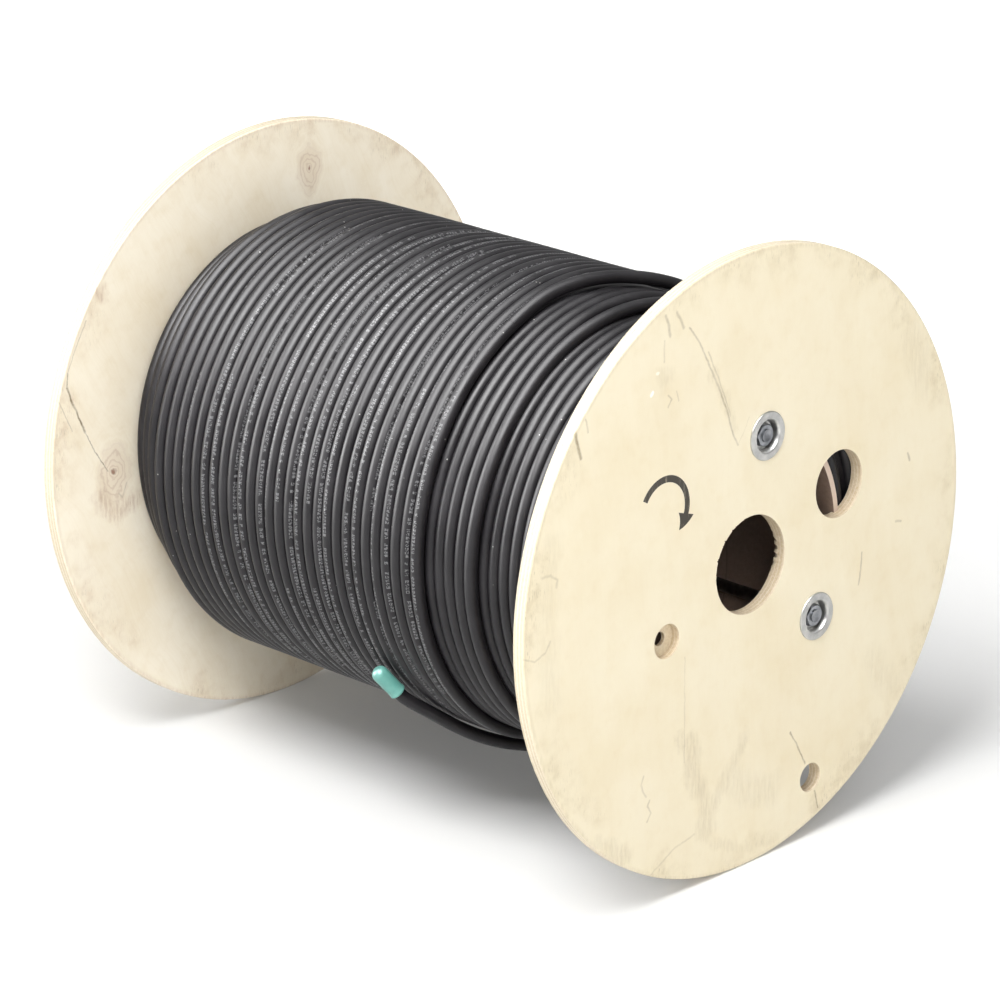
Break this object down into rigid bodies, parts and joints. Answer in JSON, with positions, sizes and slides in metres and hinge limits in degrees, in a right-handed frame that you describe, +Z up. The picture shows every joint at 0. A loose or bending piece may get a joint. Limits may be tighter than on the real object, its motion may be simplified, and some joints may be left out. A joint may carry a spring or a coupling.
{
  "type": "reel of network cable",
  "caption": "Plywood reel with a fibre barrel, wound with black outdoor network cable whose capped free end lies on the winding.",
  "frame": {"origin": "floor under the middle of the reel, which lies on the rims of its flanges", "axes": "+X along the reel axis toward the drilled near flange, +Z up"},
  "size_m": [0.4304, 0.4, 0.3999],
  "materials": {
    "plywood": "bare sanded veneer, scuffed",
    "fibre_tube": "matt wound paper",
    "cable_jacket": "satin polyethylene",
    "vinyl_cap": "dipped vinyl",
    "zinc_steel": "zinc plated, dulled"
  },
  "bodies": {
    "root": {"flange_near": "plywood", "flange_far": "plywood", "barrel": "fibre_tube", "cable_winding": "cable_jacket", "cable_tail": "cable_jacket", "end_cap": "vinyl_cap", "tie_bolt_1": "zinc_steel", "tie_bolt_2": "zinc_steel", "nut_1": "zinc_steel", "nut_2": "zinc_steel", "cup_washer_near_1": "zinc_steel", "cup_washer_near_2": "zinc_steel", "cup_washer_far_1": "zinc_steel", "cup_washer_far_2": "zinc_steel"}
  },
  "joints": []
}
